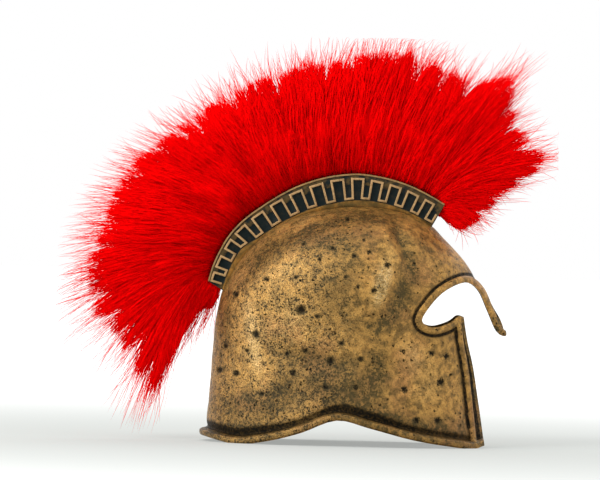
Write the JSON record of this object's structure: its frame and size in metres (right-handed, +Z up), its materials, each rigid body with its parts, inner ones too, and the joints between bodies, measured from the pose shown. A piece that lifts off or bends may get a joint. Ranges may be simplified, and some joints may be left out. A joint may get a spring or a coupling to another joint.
{
  "type": "corinthian helmet",
  "caption": "Bronze-look helmet with nasal, almond eye openings, long cheek pieces, flared rim, meander crest rail and a fanned red fur plume.",
  "frame": {"origin": "on the resting plane of the rim, under the middle of the whole helmet", "axes": "+Z up, +X towards the face, +Y to the wearer's left"},
  "size_m": [0.4553, 0.2042, 0.3871],
  "materials": {
    "aged_bronze": "aged, pitted and dented bronze with dark patina in the low places",
    "dark_bronze": "dark patinated bronze with worn pale edges on the raised meander",
    "red_fur": "long soft bright red fur with pink tips"
  },
  "bodies": {
    "root": {"shell": "aged_bronze", "crest_rail": "dark_bronze", "plume": "red_fur"}
  },
  "joints": []
}
